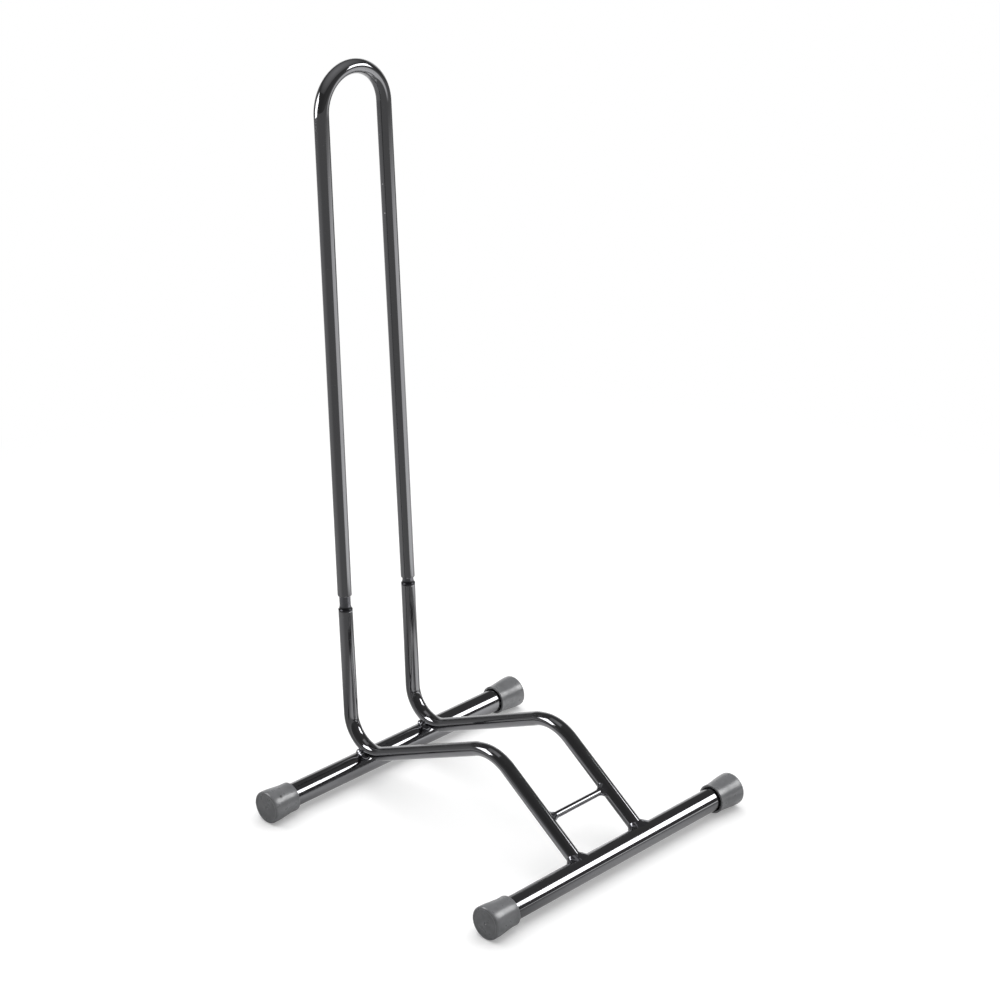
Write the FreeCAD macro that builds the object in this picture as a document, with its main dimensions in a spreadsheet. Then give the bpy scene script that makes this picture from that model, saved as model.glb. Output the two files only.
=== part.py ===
import FreeCAD, Part
import os
from math import acos, atan2, cos, hypot, pi, radians, sin

import Sketcher

# Floor bike rack: a welded base of two foot tubes and two bent rails, and a tall loop pushed into it.
# +X runs along the foot tubes, +Y points to the back and +Z up. The origin is on the floor, midway
# between the two foot tubes. Lengths are in millimetres and angles in degrees.

Vector = FreeCAD.Vector
Rotation = FreeCAD.Rotation

# The driving dimensions: name, value, what it is.
SIZES = (
    ("rail_od", 16.0, "outer diameter of the rails and the loop"),
    ("rail_wall", 1.5, "wall of the rails and the loop"),
    ("foot_od", 26.0, "outer diameter of the foot tubes"),
    ("foot_wall", 1.5, "wall of the foot tubes"),
    ("foot_length", 382.0, "cut length of a foot tube"),
    ("foot_spacing", 334.0, "front foot axis to rear foot axis"),
    ("rail_spacing", 96.0, "left rail axis to right rail axis"),
    ("lean", 2.4, "backward lean of the uprights and the loop"),
    ("seat_angle", 17.0, "how far forward of its top the rear foot carries the rails"),
    ("lower_bend", 37.0, "centreline radius of the bend over the rear foot"),
    ("run_rise", 23.2, "slope of the run that rises towards the front"),
    ("peak_bend", 50.0, "centreline radius of the bend at the peak"),
    ("descent", 35.5, "slope of the stretch that comes down to the front foot"),
    ("upright", 127.0, "straight upright above the lower bend"),
    ("weld_gap", 0.1, "gap between a rail and the rear foot under it"),
    ("loop_height", 553.8, "mouth of the rails to the centre of the loop's top bend"),
    ("loop_bend", 44.3, "centreline radius of the loop's top bend"),
    ("left_waist", 17.7, "left rail's mouth to the end of the loop's left leg"),
    ("right_waist", 8.7, "right rail's mouth to the end of the loop's right leg"),
    ("waist_od", 12.6, "diameter of a joint pin's waist"),
    ("pin_play", 0.05, "radial clearance of a joint pin in its rail"),
    ("pin_depth", 90.0, "how deep a joint pin reaches into its rail"),
    ("pin_grip", 26.0, "how far a joint pin reaches into the loop's leg"),
    ("pin_bevel", 1.0, "bevel at both ends of a joint pin"),
    ("collar_edge", 1.2, "edge height of a joint pin's collar"),
    ("collar_sweep", 5.0, "height over which the collar sweeps into the waist"),
    ("brace_od", 7.4, "diameter of the brace rod"),
    ("brace_reach", 65.4, "front foot axis to the brace rod, along the descent"),
    ("cap_radius", 18.4, "largest radius of an end cap, which rests on the floor"),
    ("cap_land", 6.3, "length of the cap's widest band"),
    ("cap_end", 3.3, "thickness of the cap's end wall"),
    ("cap_depth", 32.0, "how far the cap covers its tube"),
    ("cap_round", 2.0, "rounding of the cap's outer edge"),
    ("cap_neck", 16.1, "radius of the cap's neck"),
    ("cap_neck_back", 6.0, "the cap's mouth to its neck"),
    ("cap_mouth", 16.5, "outer radius of the cap's mouth"),
    ("cap_lip", 1.6, "thickness of the lip at the cap's mouth"),
    ("cap_play", 0.05, "radial clearance of a cap on its tube"),
    ("gate_radius", 1.3, "radius of the moulding mark in the cap's end"),
    ("gate_depth", 0.5, "depth of the moulding mark"),
    ("front_weld", 4.0, "leg of the weld rings on the front foot"),
    ("brace_weld", 3.6, "leg of the weld rings at the brace rod"),
    ("bead_offset", 6.5, "rail axis to the middle of a bead on the rear foot"),
    ("bead_rise", 1.2, "middle of a bead above the rear foot's surface"),
    ("bead_width", 8.4, "width of a bead on the rear foot"),
    ("bead_height", 7.2, "height of the oval that a bead is cut from"),
    ("bead_length", 17.0, "length of a bead on the rear foot"),
)

doc = FreeCAD.newDocument("floor_bike_rack")
sheet = doc.addObject("Spreadsheet::Sheet", "Sizes")
for row, (name, value, note) in enumerate(SIZES, start=1):
    sheet.set(f"A{row}", name)
    sheet.set(f"B{row}", str(value))
    sheet.set(f"C{row}", note)
    sheet.setAlias(f"B{row}", name)
doc.recompute()

# Places that several pieces share, as expressions on the sheet. Y and Z are counted from the rear
# foot's axis unless the name says otherwise.
SIDES = (("left", -1), ("right", 1))
ENDS = (("front", -1), ("rear", 1))
SEAT = "(Sizes.lower_bend + (Sizes.rail_od + Sizes.foot_od) / 2 + Sizes.weld_gap)"
BEND_Y = f"(-{SEAT} * sin(Sizes.seat_angle))"
BEND_Z = f"({SEAT} * cos(Sizes.seat_angle))"
MOUTH_Y = f"({BEND_Y} + Sizes.lower_bend * cos(Sizes.lean) + Sizes.upright * sin(Sizes.lean))"
MOUTH_Z = f"({BEND_Z} - Sizes.lower_bend * sin(Sizes.lean) + Sizes.upright * cos(Sizes.lean))"
REAR_Y = "(Sizes.foot_spacing / 2)"
FOOT_Z = "Sizes.cap_radius"
BRACE_Y = f"(-{REAR_Y} + Sizes.brace_reach * cos(Sizes.descent))"
BRACE_Z = f"({FOOT_Z} + Sizes.brace_reach * sin(Sizes.descent))"
BORE = "(Sizes.rail_od / 2 - Sizes.rail_wall)"


def size(text):
    """The number that an expression on the sheet gives now."""
    return float(sheet.evalExpression(text))


def signed(side, text):
    """The expression for a place on the left (side -1) or on the right (side 1)."""
    return f"{side} * {text}"


def place(piece, x="0", y="0", z="0", axis=None, angle="0"):
    """Binds the piece's placement to expressions."""
    turn = Rotation(axis, size(angle)) if axis else Rotation()
    piece.Placement = FreeCAD.Placement(Vector(size(x), size(y), size(z)), turn)
    for letter, text in zip("xyz", (x, y, z)):
        piece.setExpression(f"Placement.Base.{letter}", text)
    if axis:
        piece.setExpression("Placement.Rotation.Angle", angle)


def add_body(label):
    body = doc.addObject("PartDesign::Body", "Body")
    body.Label = label
    return body


def add_sketch(body, role):
    """A sketch on one of the body's own origin planes."""
    plane = next(f for f in body.Origin.OriginFeatures if f.Role == role)
    sketch = body.newObject("Sketcher::SketchObject", "Sketch")
    sketch.AttachmentSupport = [(plane, "")]
    sketch.MapMode = "FlatFace"
    return sketch


def bind(sketch, kind, *items):
    """Adds a constraint whose value follows the expression given as the last item."""
    *places, text = items
    value = size(text)
    index = sketch.addConstraint(Sketcher.Constraint(kind, *places, radians(value) if kind == "Angle" else value))
    sketch.renameConstraint(index, f"{kind}{index}")
    sketch.setExpression(f"Constraints.{kind}{index}", text)


def pin_point(sketch, line, end, x, y):
    """Holds one end of a line at a place counted from the sketch's origin."""
    bind(sketch, "DistanceX", -1, 1, line, end, x)
    bind(sketch, "DistanceY", -1, 1, line, end, y)


def outline(sketch, corners, curves=()):
    """A closed outline through corners, each a pair of expressions. An item of curves, corner number
    to (centre x, centre y), makes the stretch from that corner to the next a clockwise arc if the
    centre is given as a third value -1, or a counter-clockwise one if it is 1."""
    curves = dict(curves)
    points = [Vector(size(x), size(y), 0) for x, y in corners]
    for i, start in enumerate(points):
        end = points[(i + 1) % len(points)]
        if i in curves:
            centre_x, centre_y, sense = curves[i]
            centre = Vector(size(centre_x), size(centre_y), 0)
            radius = (start - centre).Length
            first, last = (start, end) if sense > 0 else (end, start)
            angles = [atan2(p.y - centre.y, p.x - centre.x) for p in (first, last)]
            circle = Part.Circle(centre, Vector(0, 0, 1), radius)
            sketch.addGeometry(Part.ArcOfCircle(circle, *angles), False)
        else:
            sketch.addGeometry(Part.LineSegment(start, end), False)
    ends = [(2, 1) if i in curves and curves[i][2] < 0 else (1, 2) for i in range(len(points))]
    for i, (x, y) in enumerate(corners):
        before = (i - 1) % len(points)
        sketch.addConstraint(Sketcher.Constraint("Coincident", before, ends[before][1], i, ends[i][0]))
        pin_point(sketch, i, ends[i][0], x, y)
    for i, (centre_x, _, _) in curves.items():
        bind(sketch, "DistanceX", -1, 1, i, 3, centre_x)


def ring(sketch, outer, wall):
    """Two circles about the sketch's origin: a tube's section."""
    for i, text in enumerate((f"{outer} / 2", f"{outer} / 2 - {wall}")):
        sketch.addGeometry(Part.Circle(Vector(0, 0, 0), Vector(0, 0, 1), size(text)), False)
        sketch.addConstraint(Sketcher.Constraint("Coincident", i, 3, -1, 1))
        bind(sketch, "Radius", i, text)


def sweep_tube(body, path):
    """A rail tube swept along the path sketch, whose first edge starts at the tube's end."""
    section = body.newObject("Sketcher::SketchObject", "Section")
    section.AttachmentSupport = [(path, "Edge1")]
    section.MapMode = "NormalToEdge"
    ring(section, "Sizes.rail_od", "Sizes.rail_wall")
    pipe = body.newObject("PartDesign::AdditivePipe", "Tube")
    pipe.Profile = section
    pipe.Spine = path
    doc.recompute()


def tangent_chain(sketch, joints):
    for first, first_end, second, second_end in joints:
        sketch.addConstraint(Sketcher.Constraint("Tangent", first, first_end, second, second_end))


def build_rail(label, side):
    """A rail: upright, bend over the rear foot, rising run, peak bend and descent to the front foot.
    Its own origin is on the rear foot's axis."""
    body = add_body(label)
    place(body, signed(side, "Sizes.rail_spacing / 2"), REAR_Y, FOOT_Z)
    lean, rise, fall = (radians(size(f"Sizes.{name}")) for name in ("lean", "run_rise", "descent"))
    low_radius, peak_radius = size("Sizes.lower_bend"), size("Sizes.peak_bend")
    low = Vector(size(BEND_Y), size(BEND_Z), 0)
    front = Vector(-size("Sizes.foot_spacing"), 0, 0)
    # The peak bend's centre lies one radius inside the run and one radius inside the descent.
    run_normal, fall_normal = Vector(sin(rise), cos(rise), 0), Vector(-sin(fall), cos(fall), 0)
    run_point = low - run_normal * (low_radius + peak_radius)
    fall_point = front - fall_normal * peak_radius
    run_way = Vector(-cos(rise), sin(rise), 0)
    reach = (fall_point - run_point).dot(fall_normal) / run_way.dot(fall_normal)
    peak = run_point + run_way * reach
    upright_foot = low + Vector(cos(lean), -sin(lean), 0) * low_radius
    mouth = upright_foot + Vector(sin(lean), cos(lean), 0) * size("Sizes.upright")
    run_start, run_end = low - run_normal * low_radius, peak + run_normal * peak_radius
    fall_start = peak + fall_normal * peak_radius
    path = add_sketch(body, "YZ_Plane")
    axis = Vector(0, 0, 1)
    path.addGeometry(Part.LineSegment(mouth, upright_foot), False)
    path.addGeometry(Part.ArcOfCircle(Part.Circle(low, axis, low_radius), -pi / 2 - rise, -lean), False)
    path.addGeometry(Part.LineSegment(run_start, run_end), False)
    path.addGeometry(Part.ArcOfCircle(Part.Circle(peak, axis, peak_radius), pi / 2 - rise, pi / 2 + fall), False)
    path.addGeometry(Part.LineSegment(fall_start, front), False)
    tangent_chain(path, ((0, 2, 1, 2), (1, 1, 2, 1), (2, 2, 3, 1), (3, 2, 4, 1)))
    bind(path, "DistanceX", -1, 1, 1, 3, BEND_Y)
    bind(path, "DistanceY", -1, 1, 1, 3, BEND_Z)
    bind(path, "Radius", 1, "Sizes.lower_bend")
    bind(path, "Radius", 3, "Sizes.peak_bend")
    bind(path, "Angle", 0, "-90 - Sizes.lean")
    bind(path, "Distance", 0, "Sizes.upright")
    bind(path, "Angle", 2, "180 - Sizes.run_rise")
    bind(path, "Angle", 4, "-180 + Sizes.descent")
    pin_point(path, 4, 2, "-Sizes.foot_spacing", "0")
    sweep_tube(body, path)
    # The lower end is shaped to sit on the front foot tube.
    cope = add_sketch(body, "YZ_Plane")
    cope.addGeometry(Part.Circle(front, axis, size("Sizes.foot_od / 2")), False)
    bind(cope, "Radius", 0, "Sizes.foot_od / 2")
    pin_point(cope, 0, 3, "-Sizes.foot_spacing", "0")
    cut = body.newObject("PartDesign::Pocket", "Cope")
    cut.Profile = cope
    cut.Midplane = True
    cut.Length = size("2 * Sizes.rail_od")
    cut.setExpression("Length", "2 * Sizes.rail_od")
    return body


def build_foot_tube(label, end):
    body = add_body(label)
    place(body, "0", signed(end, REAR_Y), FOOT_Z)
    section = add_sketch(body, "YZ_Plane")
    ring(section, "Sizes.foot_od", "Sizes.foot_wall")
    pad = body.newObject("PartDesign::Pad", "Tube")
    pad.Profile = section
    pad.Midplane = True
    pad.setExpression("Length", "Sizes.foot_length")
    return body


def build_loop():
    """The loop. Its own origin is midway between the rails' mouths, and it leans with the uprights.
    Its legs close in from the rails' spacing to the top bend, so they meet the bend a little above
    its centre."""
    body = add_body("upper_loop")
    place(body, "0", f"{REAR_Y} + {MOUTH_Y}", f"{FOOT_Z} + {MOUTH_Z}", Vector(-1, 0, 0), "Sizes.lean")
    half, radius = size("Sizes.rail_spacing / 2"), size("Sizes.loop_bend")
    centre = Vector(0, size("Sizes.loop_height"), 0)
    ends, angles = [], []
    for name, side in SIDES:
        end = Vector(side * half, size(f"Sizes.{name}_waist"), 0)
        drop = centre.y - end.y
        ends.append(end)
        angles.append(acos(radius / hypot(half, drop)) - atan2(drop, half))
    left_angle, right_angle = pi - angles[0], angles[1]
    arc = Part.ArcOfCircle(Part.Circle(centre, Vector(0, 0, 1), radius), right_angle, left_angle)
    path = add_sketch(body, "XZ_Plane")
    path.addGeometry(Part.LineSegment(ends[0], arc.EndPoint), False)
    path.addGeometry(arc, False)
    path.addGeometry(Part.LineSegment(arc.StartPoint, ends[1]), False)
    tangent_chain(path, ((0, 2, 1, 2), (1, 1, 2, 1)))
    bind(path, "DistanceX", -1, 1, 1, 3, "0")
    bind(path, "DistanceY", -1, 1, 1, 3, "Sizes.loop_height")
    bind(path, "Radius", 1, "Sizes.loop_bend")
    pin_point(path, 0, 1, "-Sizes.rail_spacing / 2", "Sizes.left_waist")
    pin_point(path, 2, 2, "Sizes.rail_spacing / 2", "Sizes.right_waist")
    sweep_tube(body, path)
    return body


def build_joint_pin(label, side, waist):
    """A joint pin: spigot inside the rail, collar on the rail's mouth, waist, and shank inside the
    loop's leg. Its own origin is at the middle of the rail's mouth."""
    body = add_body(label)
    x = signed(side, "Sizes.rail_spacing / 2")
    place(body, x, f"{REAR_Y} + {MOUTH_Y}", f"{FOOT_Z} + {MOUTH_Z}", Vector(-1, 0, 0), "Sizes.lean")
    spigot = f"({BORE} - Sizes.pin_play)"
    waist_r, collar_r = "(Sizes.waist_od / 2)", "(Sizes.rail_od / 2)"
    flare = f"({collar_r} - {waist_r})"
    sweep = f"((Sizes.collar_sweep ^ 2 + {flare} ^ 2) / (2 * {flare}))"
    sweep_top = "Sizes.collar_edge + Sizes.collar_sweep"
    top = f"{waist} + Sizes.pin_grip"
    corners = (
        ("0", "-Sizes.pin_depth"),
        (f"{spigot} - Sizes.pin_bevel", "-Sizes.pin_depth"),
        (spigot, "-Sizes.pin_depth + Sizes.pin_bevel"),
        (spigot, "0"),
        (collar_r, "0"),
        (collar_r, "Sizes.collar_edge"),
        (waist_r, sweep_top),
        (waist_r, f"{top} - Sizes.pin_bevel"),
        (f"{waist_r} - Sizes.pin_bevel", top),
        ("0", top),
    )
    profile = add_sketch(body, "XZ_Plane")
    outline(profile, corners, {5: (f"{waist_r} + {sweep}", sweep_top, -1)})
    turned = body.newObject("PartDesign::Revolution", "Turned")
    turned.Profile = profile
    turned.ReferenceAxis = (profile, ["V_Axis"])
    turned.Angle = 360
    return body


def build_cap(label, side, end):
    """A push-on end cap. Its own origin is at the tube's end and its own +X points out of the tube,
    so a left cap is turned half round."""
    body = add_body(label)
    x = signed(side, "Sizes.foot_length / 2")
    place(body, x, signed(end, REAR_Y), FOOT_Z, Vector(0, 0, 1), "180" if side < 0 else "0")
    bore = "(Sizes.foot_od / 2 + Sizes.cap_play)"
    neck_x = "(-Sizes.cap_depth + Sizes.cap_neck_back)"
    lip_flare = "(Sizes.cap_mouth - Sizes.cap_neck)"
    lip_sweep = f"((Sizes.cap_neck_back ^ 2 + {lip_flare} ^ 2) / (2 * {lip_flare}))"
    face = "(Sizes.cap_radius - Sizes.cap_round)"
    corners = (
        ("0", "0"),
        ("0", bore),
        (neck_x, bore),
        ("-Sizes.cap_depth", "Sizes.cap_mouth - Sizes.cap_lip"),
        ("-Sizes.cap_depth", "Sizes.cap_mouth"),
        (neck_x, "Sizes.cap_neck"),
        ("Sizes.cap_end - Sizes.cap_round - Sizes.cap_land", "Sizes.cap_radius"),
        ("Sizes.cap_end - Sizes.cap_round", "Sizes.cap_radius"),
        ("Sizes.cap_end", face),
        ("Sizes.cap_end", "Sizes.gate_radius"),
        ("Sizes.cap_end - Sizes.gate_depth", "Sizes.gate_radius / 2"),
        ("Sizes.cap_end - Sizes.gate_depth", "0"),
    )
    curves = {
        4: (neck_x, f"Sizes.cap_neck + {lip_sweep}", 1),
        7: ("Sizes.cap_end - Sizes.cap_round", face, -1),
    }
    profile = add_sketch(body, "XZ_Plane")
    outline(profile, corners, curves)
    moulded = body.newObject("PartDesign::Revolution", "Moulded")
    moulded.Profile = profile
    moulded.ReferenceAxis = (profile, ["H_Axis"])
    moulded.Angle = 360
    return body


def cylinder(radius, length, axis=None, angle="0", x="0", y="0", z="0"):
    tool = doc.addObject("Part::Cylinder", "Cylinder")
    tool.setExpression("Radius", radius)
    tool.setExpression("Height", length)
    place(tool, x, y, z, axis, angle)
    return tool


def fuse(*tools):
    joined = doc.addObject("Part::MultiFuse", "Joined")
    joined.Shapes = list(tools)
    return joined


def cut(base, tool, label=None):
    result = doc.addObject("Part::Cut", "Cut")
    result.Base = base
    result.Tool = tool
    if label:
        result.Label = label
    return result


def build_brace():
    """The brace rod, with its ends shaped to the rails' sides."""
    half = "(Sizes.rail_spacing / 2)"
    rod = cylinder("Sizes.brace_od / 2", "Sizes.rail_spacing", Vector(0, 1, 0), "90", f"-{half}")
    rails = []
    for _, side in SIDES:
        # A stretch of the rail's outer surface, along the descent through the rod's end.
        start_y, start_z = "-Sizes.rail_od * cos(Sizes.descent)", "-Sizes.rail_od * sin(Sizes.descent)"
        x = signed(side, half)
        tilt = "90 - Sizes.descent"
        rails.append(cylinder("Sizes.rail_od / 2", "2 * Sizes.rail_od", Vector(-1, 0, 0), tilt, x, start_y, start_z))
    brace = cut(rod, fuse(*rails), "brace_rod")
    place(brace, "0", BRACE_Y, BRACE_Z)
    return brace


def weld_ring(label, host, branch, leg):
    """A weld ring in the corner where the branch tube meets the host tube."""
    joined = fuse(host, branch)
    doc.recompute()
    filled = doc.addObject("Part::Chamfer", "Filled")
    filled.Base = joined
    corner = []
    for i, edge in enumerate(joined.Shape.Edges, start=1):
        if not isinstance(edge.Curve, (Part.Line, Part.Circle, Part.Ellipse)):
            corner.append((i, size(leg), size(leg)))
    filled.Edges = corner
    return cut(filled, joined, label)


def build_front_weld(label, side):
    """The ring where a rail ends on the front foot tube. Its own origin is on that tube's axis."""
    length = "(2 * Sizes.foot_od)"
    host = cylinder("Sizes.foot_od / 2", length, Vector(0, 1, 0), "90", f"-{length} / 2")
    branch = cylinder("Sizes.rail_od / 2", "1.5 * Sizes.foot_od", Vector(-1, 0, 0), "90 - Sizes.descent")
    weld = weld_ring(label, host, branch, "Sizes.front_weld")
    place(weld, signed(side, "Sizes.rail_spacing / 2"), f"-{REAR_Y}", FOOT_Z)
    return weld


def build_brace_weld(label, side):
    """The ring where the brace rod meets a rail. Its own origin is on that rail's axis."""
    length = "(3 * Sizes.rail_od)"
    start_y, start_z = f"-{length} / 2 * cos(Sizes.descent)", f"-{length} / 2 * sin(Sizes.descent)"
    host = cylinder(
        "Sizes.rail_od / 2", length, Vector(-1, 0, 0), "90 - Sizes.descent", y=start_y, z=start_z
    )
    branch = cylinder("Sizes.brace_od / 2", "1.5 * Sizes.rail_od", Vector(0, -side, 0), "90")
    weld = weld_ring(label, host, branch, "Sizes.brace_weld")
    place(weld, signed(side, "Sizes.rail_spacing / 2"), BRACE_Y, BRACE_Z)
    return weld


def build_rear_bead(label, side, across):
    """A weld bead beside a rail, in the corner between its bend and the rear foot tube: an oval less
    the two tubes. Its own origin is on the rear foot's axis, under the rail."""
    bead = doc.addObject("Part::Ellipsoid", "Bead")
    bead.setExpression("Radius1", "Sizes.bead_height / 2")
    bead.setExpression("Radius2", "Sizes.bead_width / 2")
    bead.setExpression("Radius3", "Sizes.bead_length / 2")
    rise = "(Sizes.foot_od / 2 + Sizes.bead_rise)"
    x = signed(across, "Sizes.bead_offset")
    y, z = f"-{rise} * sin(Sizes.seat_angle)", f"{rise} * cos(Sizes.seat_angle)"
    place(bead, x, y, z, Vector(1, 0, 0), "Sizes.seat_angle")
    bend = doc.addObject("Part::Torus", "Bend")
    bend.setExpression("Radius1", "Sizes.lower_bend")
    bend.setExpression("Radius2", "Sizes.rail_od / 2")
    place(bend, "0", BEND_Y, BEND_Z, Vector(0, 1, 0), "90")
    length = "(2 * Sizes.foot_od)"
    foot = cylinder("Sizes.foot_od / 2", length, Vector(0, 1, 0), "90", f"-{length} / 2")
    weld = cut(bead, fuse(bend, foot), label)
    place(weld, signed(side, "Sizes.rail_spacing / 2"), REAR_Y, FOOT_Z)
    return weld


pieces = [build_loop(), build_brace()]
for name, end in ENDS:
    pieces.append(build_foot_tube(f"{name}_foot_tube", end))
    for hand, side in SIDES:
        pieces.append(build_cap(f"{name}_{hand}_cap", side, end))
for hand, side in SIDES:
    pieces.append(build_rail(f"{hand}_rail", side))
    pieces.append(build_joint_pin(f"{hand}_joint_pin", side, f"Sizes.{hand}_waist"))
    pieces.append(build_front_weld(f"{hand}_rail_front_weld", side))
    pieces.append(build_brace_weld(f"brace_{hand}_weld", side))
    pieces.append(build_rear_bead(f"{hand}_rail_outer_weld", side, side))
    pieces.append(build_rear_bead(f"{hand}_rail_inner_weld", side, -side))
doc.recompute()

for item in doc.Objects:
    if {"Invalid", "Error"} & set(item.State):
        raise RuntimeError(f"{item.Label} did not build: {item.State}")
for piece in pieces:
    shape = piece.Shape
    if shape.isNull() or not shape.isValid() or len(shape.Solids) != 1:
        raise RuntimeError(f"{piece.Label} is not one valid solid")

os.makedirs("parts", exist_ok=True)
for piece in pieces:
    piece.Shape.exportStep(f"parts/{piece.Label}.step")
    print(f"{piece.Label}: {piece.Shape.Volume:.0f} mm3")
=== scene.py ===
from math import acos, atan2, cos, hypot, pi, radians, sin, sqrt

import bmesh
import bpy
from mathutils import Matrix, Vector, noise


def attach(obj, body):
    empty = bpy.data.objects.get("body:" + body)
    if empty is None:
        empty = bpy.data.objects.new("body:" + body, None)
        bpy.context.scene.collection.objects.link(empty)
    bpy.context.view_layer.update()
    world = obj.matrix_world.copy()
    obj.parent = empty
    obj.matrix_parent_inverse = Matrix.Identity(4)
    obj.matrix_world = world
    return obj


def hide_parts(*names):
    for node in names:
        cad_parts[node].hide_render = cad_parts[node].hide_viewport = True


# Floor bike rack: black chrome tubes on four grey push-on caps. Sizes are in mm and degrees, and
# +X runs along the foot tubes, +Y to the back and +Z up, from the floor midway between the feet.

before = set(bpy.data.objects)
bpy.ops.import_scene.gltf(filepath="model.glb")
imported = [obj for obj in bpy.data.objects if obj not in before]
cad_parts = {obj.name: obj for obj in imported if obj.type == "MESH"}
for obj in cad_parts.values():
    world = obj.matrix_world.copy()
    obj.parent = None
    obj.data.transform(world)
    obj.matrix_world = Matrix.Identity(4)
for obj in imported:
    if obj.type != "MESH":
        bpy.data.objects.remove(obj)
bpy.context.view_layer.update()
mm = 0.001
print("frame loaded")

layout = {
    "footSpacing": 334.0,
    "footAxisHeight": 18.4,
    "footRadius": 13.0,
    "railSpacing": 96.0,
    "railRadius": 8.0,
    "tubeWall": 1.5,
    "lean": 2.4,
    "seatAngle": 17.0,  # how far forward of its top the rear foot carries the rails
    "seatGap": 0.1,  # between the skins of the rails and the rear foot, under the beads
    "lowerBend": 37.0,
    "peakBend": 50.0,
    "runRise": 23.2,
    "descent": 35.5,
    "upright": 127.0,
    "braceReach": 65.4,  # front foot axis to the brace rod, along the descent
}
hands = (("left", -1), ("right", 1))


def yz(y, z):
    return Vector((0.0, y, z)) * mm


def sidePlane(angle):  # a direction in the rails' plane, counted from +Y towards +Z
    return Vector((0.0, cos(angle), sin(angle)))


lean, rise, fall = (radians(layout[key]) for key in ("lean", "runRise", "descent"))
halfRail = layout["railSpacing"] / 2
upWay = sidePlane(pi / 2 - lean)
rearFoot = yz(layout["footSpacing"] / 2, layout["footAxisHeight"])
frontFoot = yz(-layout["footSpacing"] / 2, layout["footAxisHeight"])
seatWay = sidePlane(pi / 2 + radians(layout["seatAngle"]))
seatReach = layout["lowerBend"] + layout["railRadius"] + layout["footRadius"] + layout["seatGap"]
lowCentre = rearFoot + seatWay * seatReach * mm
mouth = lowCentre + sidePlane(-lean) * layout["lowerBend"] * mm + upWay * layout["upright"] * mm
fallWay = sidePlane(fall)  # up the descent, from the front foot
braceMiddle = frontFoot + fallWay * layout["braceReach"] * mm


def railPlace(side):  # from the rack's middle plane across to a rail
    return Vector((side * halfRail * mm, 0, 0))


def linear(hexColour):  # sRGB to linear
    parts = [int(hexColour[i:i + 2], 16) / 255 for i in (1, 3, 5)]
    return [p / 12.92 if p <= 0.04045 else ((p + 0.055) / 1.055) ** 2.4 for p in parts] + [1.0]


def addNode(tree, kind, settings, **inputs):  # an input goes by its name, or by i and its number
    node = tree.nodes.new("ShaderNode" + kind)
    for key, value in settings.items():
        setattr(node, key, value)
    for key, value in inputs.items():
        socket = node.inputs[int(key[1:]) if key[1:].isdigit() else key.replace("_", " ")]
        if isinstance(value, bpy.types.Node):
            value = value.outputs[0]
        if isinstance(value, bpy.types.NodeSocket):
            tree.links.new(value, socket)
        else:
            socket.default_value = value
    return node


# Settings that many nodes share.
smoothStep = {"interpolation_type": "SMOOTHSTEP"}
colourMix = {"data_type": "RGBA"}
multiply = {"operation": "MULTIPLY"}
multiplyAdd = {"operation": "MULTIPLY_ADD"}
maximum = {"operation": "MAXIMUM"}


def newMaterial(name):
    material = bpy.data.materials.new(name)
    material.use_nodes = True
    tree = material.node_tree
    tree.nodes.clear()
    place = addNode(tree, "TexCoord", {}).outputs["Object"]
    return material, tree, place


def finishMaterial(tree, relief, depth, **skin):
    # Every finish ends in one relief, of a strength and a height in mm, under one skin.
    strength, height = depth
    bump = addNode(tree, "Bump", {}, Height=relief, Strength=strength, Distance=height * mm)
    surface = addNode(tree, "BsdfPrincipled", {}, Normal=bump, **skin)
    addNode(tree, "OutputMaterial", {}, Surface=surface)


def perMetre(sizeMm):  # the scale of a pattern whose parts are that wide
    return 1 / (sizeMm * mm)


def ends(*values):  # where a Map Range starts and is full, and then what it gives there
    return dict(zip(("From_Min", "From_Max", "To_Min", "To_Max"), values))


def fadeOut(tree, value, gone, full):  # 1 up to full, and smoothly down to 0 at gone
    less = addNode(tree, "Math", multiply, i0=value, i1=-1.0)
    return addNode(tree, "MapRange", smoothStep, Value=less, **ends(-gone, -full))


def nearSpot(tree, place, spot, gone, full):  # 1 close to a spot, 0 away from it
    away = addNode(tree, "VectorMath", {"operation": "DISTANCE"}, i0=place, i1=spot)
    return fadeOut(tree, away.outputs["Value"], gone, full)


# Each pattern is a width in mm and a level of detail, and each depth a strength and a height.
blackChrome = {
    "colour": "#767678",
    "roughness": (0.05, 0.11),
    "cloud": (45.0, 3.0),  # the polish's softer patches
    "cloudRange": (0.35, 0.7),
    "wave": (30.0, 1.0),  # the tube's own unevenness, seen in the reflections
    "waveDepth": (0.01, 1.0),
    "fleck": (2.2, 2.0),  # specks and small scuffs
    "fleckRange": (0.70, 0.76),
    "fleckColour": "#8c8c8e",
    "fleckDull": 0.18,  # roughness added
    "scuffGlints": ((37.5, 211.6, 664.0), (37.6, 209.3, 632.3)),  # two small scuffs with painted glints, on the loop's right leg
    "scuffGlintReach": (1.5, 0.2),
    "glintColour": "#b4b4b6",
    "nickDull": 0.3,
}


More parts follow.
